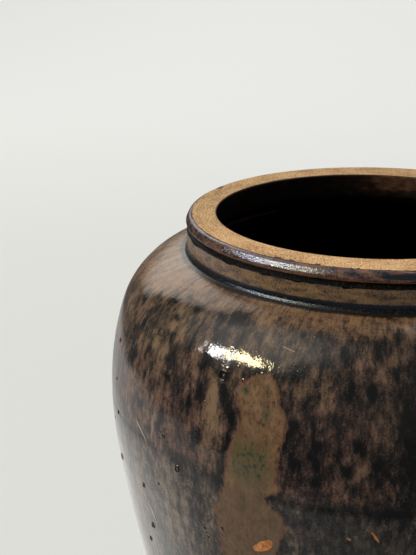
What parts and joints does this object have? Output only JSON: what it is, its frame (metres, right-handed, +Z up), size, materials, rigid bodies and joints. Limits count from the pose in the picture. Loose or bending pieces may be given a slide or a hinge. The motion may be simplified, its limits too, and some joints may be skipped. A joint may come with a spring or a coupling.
{
  "type": "martaban storage jar",
  "caption": "Wide-mouthed stoneware storage jar with a thick flat-topped bare lip, a short neck, a broad rounded shoulder and dark mottled iron glaze outside and inside.",
  "frame": {"origin": "centre of the foot, on the ground", "axes": "+Z up along the jar's axis of turning; -Y is the side that faces the picture's viewer; +X is the viewer's right"},
  "size_m": [0.4216, 0.4216, 0.47],
  "materials": {
    "foot_clay": "matt",
    "body_clay": "matt",
    "lip_clay": "matt",
    "luting_slip": "matt",
    "outer_glaze": "gloss",
    "inner_glaze": "gloss",
    "pooled_glaze": "gloss"
  },
  "bodies": {
    "root": {"base_slab": "foot_clay", "base_joint_slip": "luting_slip", "lower_body": "body_clay", "belly_joint_slip": "luting_slip", "upper_body": "body_clay", "neck_joint_slip": "luting_slip", "neck_collar": "body_clay", "lip_joint_slip": "luting_slip", "lip_ring": "lip_clay", "outer_glaze": "outer_glaze", "inner_glaze": "inner_glaze", "lip_groove_glaze": "pooled_glaze", "neck_crease_glaze": "pooled_glaze", "glaze_blisters": "outer_glaze"}
  },
  "joints": []
}
